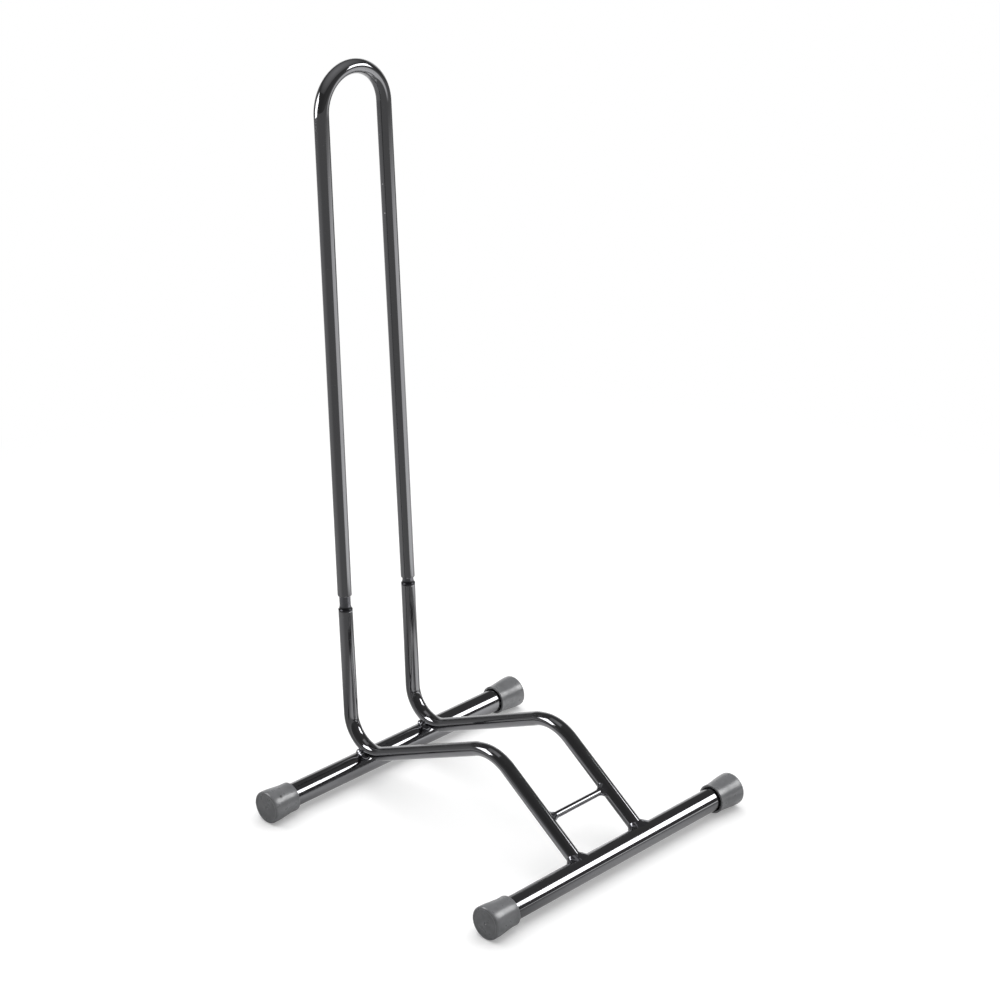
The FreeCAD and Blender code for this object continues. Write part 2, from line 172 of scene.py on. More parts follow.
def blackChromeTube():
    # Black chrome on drawn steel tube: a dark mirror, a little uneven along its length, with a
    # few dull specks, and two small scuffs with painted glints on the loop's right leg.
    material, tree, place = newMaterial("blackChromeOnSteelTube")
    cloud, wave, fleck = [
        addNode(tree, "TexNoise", {}, Vector=place, Scale=perMetre(width), Detail=detail)
        for width, detail in (blackChrome[key] for key in ("cloud", "wave", "fleck"))
    ]
    speck = addNode(tree, "MapRange", {}, Value=fleck, **ends(*blackChrome["fleckRange"]))
    polish = addNode(tree, "MapRange", {}, Value=cloud,
                     **ends(*blackChrome["cloudRange"], *blackChrome["roughness"]))
    rough = addNode(tree, "Math", multiplyAdd, i0=speck, i1=blackChrome["fleckDull"], i2=polish)
    tint = addNode(tree, "Mix", colourMix, i0=speck, i6=linear(blackChrome["colour"]),
                   i7=linear(blackChrome["fleckColour"]))
    # Painted highlights: two small spots on the leg are made paler, and duller where scuffed.
    reach = [distance * mm for distance in blackChrome["scuffGlintReach"]]
    for scuffGlint in blackChrome["scuffGlints"]:
        wearAndPaintedLight = nearSpot(tree, place, Vector(scuffGlint) * mm, *reach)
        rough = addNode(tree, "Math", multiplyAdd, i0=wearAndPaintedLight, i1=blackChrome["nickDull"], i2=rough)
        tint = addNode(tree, "Mix", colourMix, i0=wearAndPaintedLight, i6=tint.outputs[2],
                       i7=linear(blackChrome["glintColour"]))
    finishMaterial(tree, wave, blackChrome["waveDepth"], Base_Color=tint.outputs[2], Metallic=1.0,
                   Roughness=rough)
    return material


platedWeld = {
    "colour": "#707074",
    "roughness": (0.08, 0.16),
    "grain": (2.4, 3.0),
    "grainRange": (0.35, 0.7),
    "grainDepth": (0.06, 0.4),
}


def platedWeldBead():
    # A welded seam plated with the tube: the same dark chrome over a rippled, slightly pitted
    # bead.
    material, tree, place = newMaterial("blackChromeOnWeldBead")
    width, detail = platedWeld["grain"]
    grain = addNode(tree, "TexNoise", {}, Vector=place, Scale=perMetre(width), Detail=detail)
    rough = addNode(tree, "MapRange", {}, Value=grain,
                    **ends(*platedWeld["grainRange"], *platedWeld["roughness"]))
    finishMaterial(tree, grain, platedWeld["grainDepth"], Base_Color=linear(platedWeld["colour"]),
                   Metallic=1.0, Roughness=rough)
    return material


turnedPin = {
    "colour": "#66666a",
    "roughness": (0.20, 0.34),
    "line": 0.9,  # tool marks, drawn about three times as coarse as they are, to show at all
    "lineWander": (0.6, 2.0),  # distortion and detail
    "lineDepth": (0.12, 0.1),
    "mouthShadeColour": "#3c3c3f",
    "mouthShadeHeight": (5.5, 3.5),  # above the rail's mouth: where the painted shade on the collar has ended, is full
}


def turnedPinSteel():
    # A turned steel pin, plated without polishing: darker and duller than the tubes, with fine
    # rings round it, and painted shade on its collar just above the rail's mouth.
    material, tree, place = newMaterial("platedTurnedSteel")
    distortion, detail = turnedPin["lineWander"]
    repeat = perMetre(turnedPin["line"]) * pi / 10  # a band at scale 1 is pi / 10 wide
    rings = addNode(tree, "TexWave", {"bands_direction": "Z"}, Vector=place, Scale=repeat,
                    Distortion=distortion, Detail=detail).outputs["Fac"]
    rough = addNode(tree, "MapRange", {}, Value=rings, **ends(0.0, 1.0, *turnedPin["roughness"]))
    height = addNode(tree, "SeparateXYZ", {}, Vector=place).outputs["Z"]
    # Painted shade: the pin is darker on its collar, just above the rail's mouth where it meets
    # the rail.
    collar = fadeOut(tree, height, *[mouth.z + above * mm for above in turnedPin["mouthShadeHeight"]])
    tint = addNode(tree, "Mix", colourMix, i0=collar, i6=linear(turnedPin["colour"]),
                   i7=linear(turnedPin["mouthShadeColour"]))
    finishMaterial(tree, rings, turnedPin["lineDepth"], Base_Color=tint.outputs[2], Metallic=1.0,
                   Roughness=rough)
    return material


softPlastic = {
    "colour": "#727375",
    "darker": "#68696b",
    "roughness": (0.34, 0.26),  # in the darker flow marks and in the rest
    "ior": 1.6,
    "cloud": (8.0, 4.0),  # faint flow marks
    "cloudRange": (0.3, 0.7),
    "grain": (0.8, 2.0),  # moulding texture, drawn about twice as coarse as it is
    "grainDepth": (0.08, 0.1),
    "pitShade": (-182.3, 155.6, 31.8),  # painted shade: a small dark spot for a pit in the rear left cap, with a pale scuff beside
    "pitShadeReach": (2.4, 1.2),
    "pitShadeColour": "#161617",
    "scuff": (-187.2, 154.1, 31.2),
    "scuffReach": (3.0, 0.4),
    "scuffColour": "#7c7c7e",
}


def greyCapPlastic():
    # Grey injection-moulded soft PVC: satin, a broad soft highlight, faint flow marks and a fine
    # eroded grain, and a spot of painted shade for a small pit in the rear left cap.
    material, tree, place = newMaterial("greySoftPvc")
    cloud, grain = [
        addNode(tree, "TexNoise", {}, Vector=place, Scale=perMetre(width), Detail=detail)
        for width, detail in (softPlastic[key] for key in ("cloud", "grain"))
    ]
    flow = addNode(tree, "MapRange", smoothStep, Value=cloud, **ends(*softPlastic["cloudRange"]))
    tint = addNode(tree, "Mix", colourMix, i0=flow, i6=linear(softPlastic["darker"]),
                   i7=linear(softPlastic["colour"]))
    # The pit's dark spot is painted shade; the pale scuff beside it is wear.
    for mark in ("scuff", "pitShade"):
        reach = [distance * mm for distance in softPlastic[f"{mark}Reach"]]
        wearAndPaintedLight = nearSpot(tree, place, Vector(softPlastic[mark]) * mm, *reach)
        tint = addNode(tree, "Mix", colourMix, i0=wearAndPaintedLight, i6=tint.outputs[2],
                       i7=linear(softPlastic[f"{mark}Colour"]))
    rough = addNode(tree, "MapRange", {}, Value=cloud,
                    **ends(*softPlastic["cloudRange"], *softPlastic["roughness"]))
    finishMaterial(tree, grain, softPlastic["grainDepth"], Base_Color=tint.outputs[2],
                   Roughness=rough, IOR=softPlastic["ior"])
    return material


materials = {
    "black_chrome_tube": blackChromeTube(),
    "plated_weld": platedWeldBead(),
    "joint_pin_steel": turnedPinSteel(),
    "grey_cap": greyCapPlastic(),
}
print("materials made")


tubing = {
    "endRing": 1.5,  # a ring this close to each end keeps the smooth shading of a straight even
    "flatBlend": 6,  # a bend takes on its flatness over a sixth of its turn at each end
    "insideShare": 0.5,  # of that flatness, on the inside of the bend
    "widening": 0.4,  # across the bend, for each share of flatness
    "rimAngle": 1.0,  # radians: the edges that a cut end's bevel takes
    "rimSteps": 2,
}
mergeReach = 0.002 * mm
creaseAngle = radians(40)  # an edge sharper than this stays crisp


def newVerts(made):
    return [g for g in made if isinstance(g, bmesh.types.BMVert)]


def newEdges(made):
    return [g for g in made if isinstance(g, bmesh.types.BMEdge)]


def startRing(bm, centre, way, radius, sides):
    turn = way.to_track_quat("Z", "X").to_matrix().to_4x4()
    made = bmesh.ops.create_circle(bm, segments=sides, radius=radius * mm,
                                   matrix=Matrix.Translation(centre) @ turn)
    return list({edge for vert in made["verts"] for edge in vert.link_edges})


def extendRing(bm, ring, move):
    made = bmesh.ops.extrude_edge_only(bm, edges=ring)["geom"]
    bmesh.ops.translate(bm, verts=newVerts(made), vec=move)
    return newEdges(made)


def runStraight(bm, ring, move):
    end = move.normalized() * tubing["endRing"] * mm
    for step in (end, move - 2 * end, end):
        ring = extendRing(bm, ring, step)
    return ring


def runBend(bm, ring, centre, axis, angle, steps, flat):
    before = set(bm.verts)
    verts = list({vert for edge in ring for vert in edge.verts})
    start = sum((vert.co for vert in verts), Vector()) / len(verts) - centre
    made = bmesh.ops.spin(bm, geom=verts + ring, cent=centre, axis=axis, angle=angle, steps=steps,
                          use_merge=False, use_duplicate=False)["geom_last"]
    # A bent tube is a little flatter on the outside of its bend and a little wider across it.
    blend = tubing["flatBlend"]
    for vert in set(bm.verts) - before:
        arm = vert.co - centre
        along = axis * arm.dot(axis)
        radial = arm - along
        share = start.angle(radial) / abs(angle)
        weight = flat * min(1.0, blend * share, blend * max(0.0, 1 - share))
        reach = radial.length - start.length
        squeeze = weight if reach > 0 else tubing["insideShare"] * weight
        wide = along * (1 + tubing["widening"] * weight)
        vert.co = centre + wide + radial.normalized() * (start.length + reach * (1 - squeeze))
    return newEdges(made)


def giveWall(bm, wall, rim):
    bmesh.ops.recalc_face_normals(bm, faces=bm.faces)
    bmesh.ops.solidify(bm, geom=bm.faces[:], thickness=wall * mm)
    corners = [edge for edge in bm.edges
               if len(edge.link_faces) == 2 and edge.calc_face_angle() > tubing["rimAngle"]]
    bmesh.ops.bevel(bm, geom=corners, offset=rim * mm, segments=tubing["rimSteps"], profile=0.5,
                    affect="EDGES", material=-1, clamp_overlap=True)


def latheProfile(bm, points, rounds):
    # An open outline through (along, radius) points in the XZ plane. Rounds gives the rounding
    # and the steps of some corners, by their number.
    verts = [bm.verts.new(Vector((along, 0, radius)) * mm) for along, radius in points]
    for first, second in zip(verts, verts[1:]):
        bm.edges.new((first, second))
    for corner, (reach, steps) in rounds.items():
        bmesh.ops.bevel(bm, geom=[verts[corner]], offset=reach * mm, segments=steps, profile=0.5,
                        affect="VERTICES", material=-1)


def spinWhole(bm, steps):
    # Turns the profile round the X axis into a closed solid.
    bmesh.ops.spin(bm, geom=bm.verts[:] + bm.edges[:], cent=(0, 0, 0), axis=(1, 0, 0),
                   angle=2 * pi, steps=steps, use_merge=True, use_duplicate=False)
    bmesh.ops.remove_doubles(bm, verts=bm.verts, dist=mergeReach)
    bmesh.ops.recalc_face_normals(bm, faces=bm.faces)


def addPiece(bm, name, body, slot, *nodes):
    mesh = bpy.data.meshes.new(name)
    bm.to_mesh(mesh)
    bm.free()
    mesh.shade_smooth()
    mesh.set_sharp_from_angle(angle=creaseAngle)
    mesh.materials.append(materials[slot])
    piece = bpy.data.objects.new(name, mesh)
    bpy.context.scene.collection.objects.link(piece)
    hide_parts(*nodes)
    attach(piece, body)


railTube = {
    "sides": 64,
    "lowSteps": 36,
    "peakSteps": 28,
    "flatLow": 0.05,
    "flatPeak": 0.09,
    "rim": 0.3,  # bevel of the sawn mouth
    "seatIn": 0.3,  # how far the coped end goes into the foot's skin, under the weld
    "lastRing": 2.0,
}


def railPath():
    # The peak bend's centre lies one radius inside the run and one radius inside the descent.
    runNormal, fallNormal = sidePlane(pi / 2 - rise), sidePlane(pi / 2 + fall)
    runWay = sidePlane(pi - rise)
    low, peak = layout["lowerBend"] * mm, layout["peakBend"] * mm
    runPoint = lowCentre - runNormal * (low + peak)
    fallPoint = frontFoot - fallNormal * peak
    reach = (fallPoint - runPoint).dot(fallNormal) / runWay.dot(fallNormal)
    return runPoint + runWay * reach, runNormal, runWay


def makeRail(hand, side):
    bm = bmesh.new()
    across = railPlace(side)
    peakCentre, runNormal, runWay = railPath()
    axis = Vector((1, 0, 0))
    runStart = lowCentre - runNormal * layout["lowerBend"] * mm
    runEnd = peakCentre + runNormal * layout["peakBend"] * mm
    ring = startRing(bm, mouth + across, upWay, layout["railRadius"], railTube["sides"])
    ring = runStraight(bm, ring, -upWay * layout["upright"] * mm)
    ring = runBend(bm, ring, lowCentre + across, axis, -(pi / 2 + rise - lean),
                   railTube["lowSteps"], railTube["flatLow"])
    ring = runStraight(bm, ring, runWay * (runEnd - runStart).length)
    ring = runBend(bm, ring, peakCentre + across, axis, rise + fall, railTube["peakSteps"],
                   railTube["flatPeak"])
    # The last stretch comes down to the front foot, and each point of its end stops at that
    # tube's skin.
    fallEnd = peakCentre + sidePlane(pi / 2 + fall) * layout["peakBend"] * mm
    stop = (layout["footRadius"] + railTube["lastRing"]) * mm
    length = (fallEnd - frontFoot).dot(fallWay) - stop
    ring = runStraight(bm, ring, -fallWay * length)
    drop = extendRing(bm, ring, Vector())
    skin = (layout["footRadius"] - railTube["seatIn"]) * mm
    for vert in {vert for edge in drop for vert in edge.verts}:
        arm = vert.co - frontFoot - across
        offset = arm - fallWay * arm.dot(fallWay)
        aside = offset.y * fallWay.z - offset.z * fallWay.y
        vert.co = frontFoot + across + offset + fallWay * sqrt(skin ** 2 - aside ** 2)
    giveWall(bm, layout["tubeWall"], railTube["rim"])
    addPiece(bm, f"{hand}RailTube", "base", "black_chrome_tube", f"{hand}_rail")


for hand, side in hands:
    makeRail(hand, side)
print("rails made")


loopTube = {
    "height": 553.8,  # rails' mouths to the centre of the top bend
    "bend": 44.3,
    "leftWaist": 17.7,
    "rightWaist": 8.7,
    "sides": 64,
    "steps": 60,
    "flat": 0.05,
    "rim": 0.3,
}


def makeLoop():
    bm = bmesh.new()
    bend = loopTube["bend"]
    centre = Vector((0, 0, loopTube["height"])) * mm
    axis = Vector((0, -1, 0))
    legs, tops, turns = {}, {}, {}
    for hand, side in hands:
        waist = loopTube[f"{hand}Waist"]
        drop = loopTube["height"] - waist
        turn = acos(bend / hypot(halfRail, drop)) - atan2(drop, halfRail)
        legs[hand] = Vector((side * halfRail, 0, waist)) * mm
        tops[hand] = centre + Vector((side * cos(turn), 0, sin(turn))) * bend * mm
        turns[hand] = turn
    leftWay = tops["left"] - legs["left"]
    ring = startRing(bm, legs["left"], leftWay, layout["railRadius"], loopTube["sides"])
    ring = runStraight(bm, ring, leftWay)
    ring = runBend(bm, ring, centre, axis, -(pi - turns["left"] - turns["right"]),
                   loopTube["steps"], loopTube["flat"])
    runStraight(bm, ring, legs["right"] - tops["right"])
    giveWall(bm, layout["tubeWall"], loopTube["rim"])
    stand = Matrix.Translation(mouth) @ Matrix.Rotation(-lean, 4, "X")
    bmesh.ops.transform(bm, matrix=stand, verts=bm.verts)
    addPiece(bm, "loopTube", "loop", "black_chrome_tube", "upper_loop")


jointPin = {
    "spigotRadius": 6.45,
    "spigotDepth": 90.0,
    "waistRadius": 6.3,
    "collarRadius": 8.0,
    "collarEdge": 1.2,
    "collarSweep": 5.0,
    "sweepTop": (0.4, 0.55),  # mm above the edge, and the share of the flare that is left there
    "sweepMiddle": (0.5, 0.14),  # share of the sweep, and of the flare that is left there
    "plain": 2.0,  # straight at both ends of the waist
    "grip": 26.0,  # how far it reaches into the loop's leg
    "rounds": {1: (1.0, 3), 3: (0.25, 3), 4: (0.25, 3), 5: (0.5, 4), 6: (1.2, 5), 10: (1.0, 3)},
    "steps": 72,
}


def makePin(hand, side):
    bm = bmesh.new()
    pin = jointPin
    top = loopTube[f"{hand}Waist"] + pin["grip"]
    edge, collar, waist = pin["collarEdge"], pin["collarRadius"], pin["waistRadius"]
    flare = collar - waist
    topUp, topLeft = pin["sweepTop"]
    middleUp, middleLeft = pin["sweepMiddle"]
    points = [
        (-pin["spigotDepth"], 0), (-pin["spigotDepth"], pin["spigotRadius"]),
        (0, pin["spigotRadius"]), (0, collar), (edge, collar),
        (edge + topUp, waist + topLeft * flare),
        (edge + middleUp * pin["collarSweep"], waist + middleLeft * flare),
        (edge + pin["collarSweep"], waist), (edge + pin["collarSweep"] + pin["plain"], waist),
        (top - pin["plain"], waist), (top, waist), (top, 0),
    ]
    latheProfile(bm, points, pin["rounds"])
    spinWhole(bm, pin["steps"])
    stand = Matrix.Translation(mouth + railPlace(side)) @ Matrix.Rotation(-lean, 4, "X")
    bmesh.ops.transform(bm, matrix=stand @ Matrix.Rotation(-pi / 2, 4, "Y"), verts=bm.verts)
    addPiece(bm, f"{hand}JointPin", "loop", "joint_pin_steel", f"{hand}_joint_pin")


makeLoop()
for hand, side in hands:
    makePin(hand, side)
print("loop and pins made")


footTube = {
    "length": 382.0,
    "sides": 96,
    "rim": 0.3,
}

endCap = {
    "radius": 18.4,
    "land": 6.3,  # the widest band
    "endWall": 3.3,
    "depth": 32.0,
    "neck": 16.1,
    "neckBack": 6.0,
    "mouth": 16.5,
    "lip": 2.4,
    "bore": 13.05,
    "faceDepth": 0.5,  # the end face lies a little below its rounded rim
    "rim": (0.6, 1.6, 3.0),  # in from the edge's round: the rim ends, the face starts, is level
    "gateRadius": 1.2,
    "gateDepth": 1.0,
    "gateRing": (0.8, 0.3, 0.15),  # a low ring round the gate mark: from, to and its height
    "rounds": {
        3: (0.4, 3), 4: (0.5, 3),  # the open end's lip
        5: (5.0, 8), 6: (3.5, 6),  # the flare
        7: (2.0, 6),  # the widest band's edge
        8: (0.4, 3), 9: (0.5, 3), 12: (0.3, 3),  # the end face
    },
    "steps": 96,
}


def makeFootTube(end, axisPlace):
    bm = bmesh.new()
    half = Vector((footTube["length"] / 2 * mm, 0, 0))
    ring = startRing(bm, axisPlace - half, half.normalized(), layout["footRadius"],
                     footTube["sides"])
    runStraight(bm, ring, half * 2)
    giveWall(bm, layout["tubeWall"], footTube["rim"])
    addPiece(bm, f"{end}FootTube", "base", "black_chrome_tube", f"{end}_foot_tube")


def makeCap(end, hand, side, axisPlace):
    bm = bmesh.new()
    cap = endCap
    back, wall = -cap["depth"], cap["endWall"]
    neckX = back + cap["neckBack"]
    face = wall - cap["faceDepth"]
    edgeRound = cap["rounds"][7][0]
    level = cap["radius"] - edgeRound
    rimEnd, faceStart, faceLevel = cap["rim"]
    gate, deep = cap["gateRadius"], face - cap["gateDepth"]
    ringOut, ringIn, ringHeight = cap["gateRing"]
    points = [
        (0, 0), (0, cap["bore"]), (neckX, cap["bore"]), (back, cap["mouth"] - cap["lip"]),
        (back, cap["mouth"]), (neckX, cap["neck"]),
        (wall - edgeRound - cap["land"], cap["radius"]), (wall, cap["radius"]),
        (wall, level - rimEnd), (face, level - faceStart), (face, level - faceLevel),
        (face, gate + ringOut), (face + ringHeight, gate + ringIn), (deep, gate / 2), (deep, 0),
    ]
    latheProfile(bm, points, cap["rounds"])
    spinWhole(bm, cap["steps"])
    spot = axisPlace + Vector((side * footTube["length"] / 2 * mm, 0, 0))
    turn = Matrix.Rotation(pi if side < 0 else 0, 4, "Z")
    bmesh.ops.transform(bm, matrix=Matrix.Translation(spot) @ turn, verts=bm.verts)
    addPiece(bm, f"{end}{hand.capitalize()}Cap", "base", "grey_cap", f"{end}_{hand}_cap")


for end, axisPlace in (("front", frontFoot), ("rear", rearFoot)):
    makeFootTube(end, axisPlace)
    for hand, side in hands:
        makeCap(end, hand, side, axisPlace)
print("feet made")


braceRod = {
    "radius": 3.7,
    "sides": 32,
    "seatIn": 0.3,
}


def makeBrace():
    bm = bmesh.new()
    half = railPlace(1)
    ring = startRing(bm, braceMiddle - half, Vector((1, 0, 0)), braceRod["radius"],
                     braceRod["sides"])
    far = runStraight(bm, ring, half * 2)
    # Each end stops just inside the rail's skin.
    skin = (layout["railRadius"] - braceRod["seatIn"]) * mm
    across = Vector((0, -fallWay.z, fallWay.y))
    for edges, side in ((ring, -1), (far, 1)):
        for vert in {vert for edge in edges for vert in edge.verts}:
            aside = (vert.co - braceMiddle).dot(across)
            vert.co.x = side * (halfRail * mm - sqrt(skin ** 2 - aside ** 2))
    bmesh.ops.holes_fill(bm, edges=bm.edges[:], sides=0)
    bmesh.ops.recalc_face_normals(bm, faces=bm.faces)
    addPiece(bm, "braceRod", "base", "black_chrome_tube", "brace_rod")


makeBrace()
print("brace made")


frontWeld = {
    "rise": 6.0,  # up the rail
    "legs": (8.4, 5.0),  # along the foot tube, to the right and to the left
    "legAcross": 3.4,
    "fullness": 0.25,
    "ripple": 0.45,
    "steps": 96,
    "seed": 3.0,
}

braceWeld = {
    "rise": 7.6,
    "legs": (5.6, 5.0),
    "legAcross": 2.6,
    "fullness": 0.1,
    "ripple": 0.3,
    "steps": 72,
    "seed": 11.0,
}

weldSection = {
    "root": (1.5, 0.8),  # how deep its hidden corner lies in the host and in the branch
    "sink": 0.2,  # how deep its two edges lie in the tubes' skins
    "leg": 1.0,  # its reach before it is stretched to a weld's own legs
    "hollow": 0.25,  # how far out the middle of its slope lies with no fullness
    "swell": 0.4,  # and how much further with all of it
    "slopeRound": (1.6, 5),
    "closing": 0.01,
    "cuts": 2,  # points added to each side
    "lumps": 2.6,  # scale of the uneven ripple round the ring
    "lumpHeight": 9.0,
    "beads": (0.25, 11, 2.0),  # the even ripple: its share, number round the ring and wander
    "fade": 0.8,  # how far from the branch the ripple is full
    "hostEdge": 0.4,  # kept from the host's widest line
}


def makeWeldRing(name, node, weld, spot, side, branchWay, alongHost, hostRadius, branchRadius):
    # A closed section is turned round the branch tube and then draped over the tube that it
    # stands on. Radii beyond the branch are counted in legs until the ring is draped.
    bm = bmesh.new()
    section = weldSection
    inner = branchRadius - section["sink"]
    middle = section["hollow"] + section["swell"] * weld["fullness"]
    root = (-section["root"][0], branchRadius - section["root"][1])
    points = [root, (weld["rise"], inner),
              (weld["rise"] * middle, branchRadius + section["leg"] * middle),
              (-section["sink"], branchRadius + section["leg"]), root]
    latheProfile(bm, points, {2: section["slopeRound"]})
    bmesh.ops.remove_doubles(bm, verts=bm.verts, dist=section["closing"] * mm)
    bmesh.ops.subdivide_edges(bm, edges=bm.edges[:], cuts=section["cuts"])
    spinWhole(bm, weld["steps"])
    sideWay = branchWay.cross(alongHost)
    share, count, wander = section["beads"]
    for vert in bm.verts:
        height, radius = vert.co.x / mm, hypot(vert.co.y, vert.co.z) / mm
        angle = atan2(vert.co.z, vert.co.y)
        along = cos(angle)
        legAlong = weld["legs"][0] if along > 0 else weld["legs"][1]
        leg = weld["legAcross"] + (legAlong - weld["legAcross"]) * along ** 2
        if radius > inner:
            radius = inner + (radius - inner) * leg / (section["leg"] + section["sink"])
        bead = Vector((cos(angle), sin(angle), height / section["lumpHeight"])) * section["lumps"]
        bump = weld["ripple"] * noise.noise(bead + Vector((weld["seed"] + side, 0, 0)))
        bump += share * weld["ripple"] * sin(angle * count + wander * noise.noise(bead))
        outer = min(1.0, max(0.0, (radius - inner) / section["fade"]))
        radius += bump * outer
        height += bump * outer
        aside = min(abs(radius * sin(angle)), hostRadius - section["hostEdge"])
        height += sqrt(hostRadius ** 2 - aside ** 2)
        reach = branchWay * height + alongHost * radius * cos(angle)
        vert.co = spot + (reach + sideWay * radius * sin(angle)) * mm
    bmesh.ops.recalc_face_normals(bm, faces=bm.faces)
    addPiece(bm, name, "base", "plated_weld", node)


rearBead = {
    "offset": 6.8,
    "rise": 1.2,
    "size": (9.6, 17.4, 8.0),
    "segments": (40, 28),
    "lump": 0.8,
    "lumpScale": 0.3,
    "ripple": (0.12, 1.4),  # share of the lump, and its pace along the bead
    "seeds": {"outer": 17.0, "inner": 23.0},
}


def makeRearBead(hand, side, face, across):
    bm = bmesh.new()
    around, up = rearBead["segments"]
    bmesh.ops.create_uvsphere(bm, u_segments=around, v_segments=up, radius=0.5 * mm)
    bmesh.ops.scale(bm, verts=bm.verts, vec=rearBead["size"])
    seed = Vector((rearBead["seeds"][face] + side, 0, 0))
    share, pace = rearBead["ripple"]
    for vert in bm.verts:
        spot = vert.co / mm
        lump = noise.noise(spot * rearBead["lumpScale"] + seed) + share * sin(spot.y * pace)
        vert.co += vert.co.normalized() * lump * rearBead["lump"] * mm
    place = rearFoot + seatWay * (layout["footRadius"] + rearBead["rise"]) * mm
    place += Vector(((side * halfRail + across * rearBead["offset"]) * mm, 0, 0))
    turn = Matrix.Rotation(radians(layout["seatAngle"]), 4, "X")
    bmesh.ops.transform(bm, matrix=Matrix.Translation(place) @ turn, verts=bm.verts)
    bmesh.ops.recalc_face_normals(bm, faces=bm.faces)
    addPiece(bm, f"{hand}{face.capitalize()}Bead", "base", "plated_weld",
             f"{hand}_rail_{face}_weld")


for hand, side in hands:
    makeWeldRing(f"{hand}FrontWeld", f"{hand}_rail_front_weld", frontWeld,
                 frontFoot + railPlace(side), side, fallWay, Vector((1, 0, 0)),
                 layout["footRadius"], layout["railRadius"])
    makeWeldRing(f"{hand}BraceWeld", f"brace_{hand}_weld", braceWeld,
                 braceMiddle + railPlace(side), side, Vector((-side, 0, 0)), fallWay,
                 layout["railRadius"], braceRod["radius"])
    for face, across in (("outer", side), ("inner", -side)):
        makeRearBead(hand, side, face, across)
print("welds made")


studio = {
    "floorReach": 12.0,  # metres
    "floorColour": "#e6e6e6",
    "floorGlow": 0.26,
    "shadowReach": (0.75, 1.3),  # metres from the rack: the lit floor turns into plain white
    "ambient": 0.82,
    "dimSide": {"azimuth": -90.0, "elevation": 0.0, "edge": (-0.2, 0.7), "depth": 0.95},
    # What the polished metal mirrors: light and shade painted on the floor, seen only in
    # reflections. The floor is white near the rack and dark on the camera's side.
    "farFloor": 0.30,
    "floorSpots": (  # place, distances where it has gone and is full, level added; painted pools of light, the last one of shade
        ((0.05, 0.0, 0), 0.31, 0.18, 0.65),
        ((0.20, 0.03, 0), 0.17, 0.06, 0.45),
        ((0.0, -0.05, 0), 0.11, 0.04, -0.6),
    ),
    "sectorReach": (0.34, 0.46),
    # Azimuth, cosines where it starts and is full, level added, and for the floor the distances
    # where it has gone and is full.
    "floorSectors": (
        (46.0, 0.743, 0.899, 1.40, 3.7, 2.0),
        (125.0, 0.60, 0.85, 0.60, 1.95, 1.4),
        (-165.0, 0.20, 0.95, 0.22, 3.7, 2.0),
    ),
    "wallSectors": (
        (130.0, 0.78, 0.92, 0.95),
        (-165.0, 0.10, 0.90, 0.22),
    ),
    "wallHeight": (0.42, 0.10),  # sines of the elevations where the low wall has gone, is full
    "ceiling": 0.15,
    "shade": {"azimuth": -80.0, "elevation": 30.0, "edge": (0.30, 0.95), "depth": 0.25},
    "topLamp": {"place": (0.0, 0.35, 2.1), "size": (3.0, 3.0), "power": 45.0, "spread": 180.0},
    "softboxes": (
        {"azimuth": 52.7, "reach": 2.157, "height": 1.34, "facing": 30.6, "tilt": 60.3,
         "size": (1.06, 1.19), "power": 35.8, "spread": 180.0},
        {"azimuth": -129.3, "reach": 1.11, "height": 0.84, "facing": -160.0, "tilt": 13.7,
         "size": (0.73, 0.63), "power": 11.5, "spread": 180.0},
        # A small dim diffuser close above the loop.
        {"azimuth": 180.0, "reach": 0.24, "height": 0.97, "facing": 0.0, "tilt": 90.0,
         "size": (0.6, 0.5), "power": 0.22, "spread": 120.0},
    ),
}


def aim(azimuth, elevation):  # the direction from the rack towards a place, azimuth 0 being -Y
    a, e = radians(azimuth), radians(elevation)
    return Vector((sin(a) * cos(e), -cos(a) * cos(e), sin(e)))


def sightRays(tree):  # the rays that the camera sees by, and those that the metal mirrors
    rays = addNode(tree, "LightPath", {}).outputs
    seen = addNode(tree, "Math", maximum, i0=rays["Is Camera Ray"],
                   i1=rays["Is Transmission Ray"])
    return seen, rays["Is Glossy Ray"]


def facing(tree, vector, way, start, full):  # 1 close to a direction, 0 away from it
    turned = addNode(tree, "VectorMath", {"operation": "DOT_PRODUCT"}, i0=vector, i1=way)
    return addNode(tree, "MapRange", smoothStep, Value=turned.outputs["Value"],
                   **ends(start, full))


def sectorLevels(tree, vector, sectors):
    # The sum of the levels of the sides of the room that a direction lies in.
    flat = addNode(tree, "VectorMath", multiply, i0=vector, i1=(1, 1, 0))
    unit = addNode(tree, "VectorMath", {"operation": "NORMALIZE"}, i0=flat)
    total = 0.0
    for azimuth, start, full, level in sectors:
        weight = facing(tree, unit.outputs[0], aim(azimuth, 0), start, full)
        total = addNode(tree, "Math", multiplyAdd, i0=weight, i1=level, i2=total)
    return total


def dimmed(tree, way, level, side):  # a level that falls towards one side of the room
    there = facing(tree, way, aim(side["azimuth"], side["elevation"]), *side["edge"])
    return addNode(tree, "Math", multiplyAdd, i0=there, i1=-side["depth"] * level, i2=level)


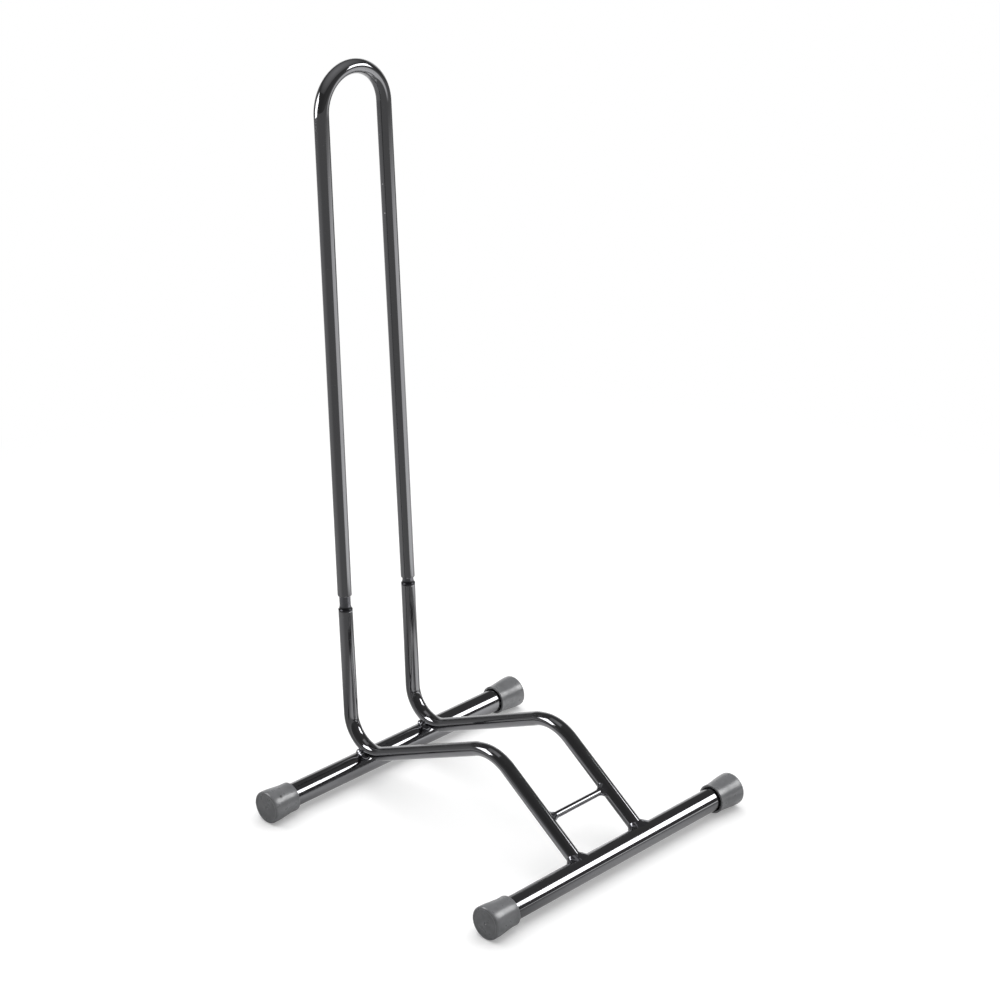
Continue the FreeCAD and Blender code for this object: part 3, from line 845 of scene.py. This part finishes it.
def makeFloor():
    bm = bmesh.new()
    bmesh.ops.create_grid(bm, x_segments=1, y_segments=1, size=studio["floorReach"])
    mesh = bpy.data.meshes.new("floor")
    bm.to_mesh(mesh)
    bm.free()
    floor = bpy.data.objects.new("floor", mesh)
    bpy.context.scene.collection.objects.link(floor)
    # White paper: matt and lit near the rack, plain white further off; painted light in
    # reflections.
    material, tree, place = newMaterial("whitePaperFloor")
    seen, mirrored = sightRays(tree)
    far = addNode(tree, "VectorMath", {"operation": "LENGTH"}, i0=place).outputs["Value"]
    plain, beyond = [
        addNode(tree, "MapRange", smoothStep, Value=far, **ends(*studio[key]))
        for key in ("shadowReach", "sectorReach")
    ]
    level = studio["farFloor"]
    for *sector, gone, full in studio["floorSectors"]:
        band = addNode(tree, "Math", multiply, i0=beyond, i1=fadeOut(tree, far, gone, full))
        within = sectorLevels(tree, place, [sector])
        level = addNode(tree, "Math", multiplyAdd, i0=within, i1=band, i2=level)
    for spot, gone, full, added in studio["floorSpots"]:
        near = nearSpot(tree, place, spot, gone, full)
        level = addNode(tree, "Math", multiplyAdd, i0=near, i1=added, i2=level)
    unseen = addNode(tree, "Math", {"operation": "SUBTRACT"}, i0=mirrored, i1=seen)
    level = addNode(tree, "Mix", {}, i0=unseen, i2=1.0, i3=level)
    paper = addNode(tree, "VectorMath", {"operation": "SCALE"},
                    i0=linear(studio["floorColour"])[:3], Scale=level)
    matt = addNode(tree, "BsdfDiffuse", {}, Color=paper)
    glow = addNode(tree, "Math", multiply, i0=level, i1=studio["floorGlow"])
    shown = addNode(tree, "Math", maximum, i0=seen, i1=mirrored)
    glow = addNode(tree, "Math", multiply, i0=glow, i1=shown)
    lift = addNode(tree, "Emission", {}, Strength=glow)
    lit = addNode(tree, "AddShader", {}, i0=matt, i1=lift)
    white = addNode(tree, "Emission", {}, Strength=level)
    mixed = addNode(tree, "MixShader", {}, i0=plain, i1=lit, i2=white)
    addNode(tree, "OutputMaterial", {}, Surface=mixed)
    mesh.materials.append(material)


def makeWorld():
    world = bpy.data.worlds.new("studio")
    bpy.context.scene.world = world
    world.use_nodes = True
    tree = world.node_tree
    tree.nodes.clear()
    seen, mirrored = sightRays(tree)
    way = addNode(tree, "TexCoord", {}).outputs["Generated"]
    height = addNode(tree, "SeparateXYZ", {}, Vector=way).outputs["Z"]
    low = fadeOut(tree, height, *studio["wallHeight"])
    walls = sectorLevels(tree, way, studio["wallSectors"])
    room = dimmed(tree, way, studio["ceiling"], studio["shade"])
    room = addNode(tree, "Math", multiplyAdd, i0=low, i1=walls, i2=room)
    ambient = dimmed(tree, way, studio["ambient"], studio["dimSide"])
    metal, matt, white = [
        addNode(tree, "Background", {}, Color=(1, 1, 1, 1), Strength=strength)
        for strength in (room, ambient, 1.0)
    ]
    lighting = addNode(tree, "MixShader", {}, i0=mirrored, i1=matt, i2=metal)
    mixed = addNode(tree, "MixShader", {}, i0=seen, i1=lighting, i2=white)
    addNode(tree, "OutputWorld", {}, Surface=mixed)


def makeLamp(name, place, turn, values, mirrored):
    light = bpy.data.lights.new(name, "AREA")
    light.shape = "RECTANGLE"
    light.size, light.size_y = values["size"]
    light.energy = values["power"]
    light.spread = radians(values["spread"])
    lamp = bpy.data.objects.new(name, light)
    lamp.location = place
    lamp.rotation_euler = turn.to_euler()
    lamp.visible_camera = False
    lamp.visible_glossy, lamp.visible_diffuse = mirrored, not mirrored
    bpy.context.scene.collection.objects.link(lamp)


makeFloor()
makeWorld()
top = studio["topLamp"]
makeLamp("topLamp", top["place"], Vector(top["place"]).to_track_quat("Z", "Y"), top, False)
for number, box in enumerate(studio["softboxes"], start=1):
    place = aim(box["azimuth"], 0) * box["reach"] + Vector((0, 0, box["height"]))
    # A lamp shines along its own -Z. At no tilt that is level, back along its facing, and tilt
    # turns it down.
    turn = Matrix.Rotation(radians(box["facing"]), 3, "Z")
    tip = Matrix.Rotation(radians(90 - box["tilt"]), 3, "X")
    makeLamp(f"softbox{number}", place, turn @ tip, box, True)

view = {
    "azimuth": -45.81,
    "elevation": 23.35,
    "roll": 0.08,
    "distance": 3061.2,
    "target": (162.5, 159.3, 275.9),
    "lens": 96.98,
    "sensor": 36.0,
    "clipEnd": 50.0,  # metres
}


def makeCamera():
    data = bpy.data.cameras.new("camera")
    data.lens = view["lens"]
    data.sensor_width = view["sensor"]
    data.clip_end = view["clipEnd"]
    camera = bpy.data.objects.new("camera", data)
    way = aim(view["azimuth"], view["elevation"])
    camera.location = (Vector(view["target"]) + way * view["distance"]) * mm
    turn = way.to_track_quat("Z", "Y").to_matrix()
    camera.rotation_euler = (turn @ Matrix.Rotation(radians(view["roll"]), 3, "Z")).to_euler()
    bpy.context.scene.collection.objects.link(camera)
    bpy.context.scene.camera = camera


makeCamera()
bpy.context.scene.view_settings.view_transform = "Standard"
print("studio made")
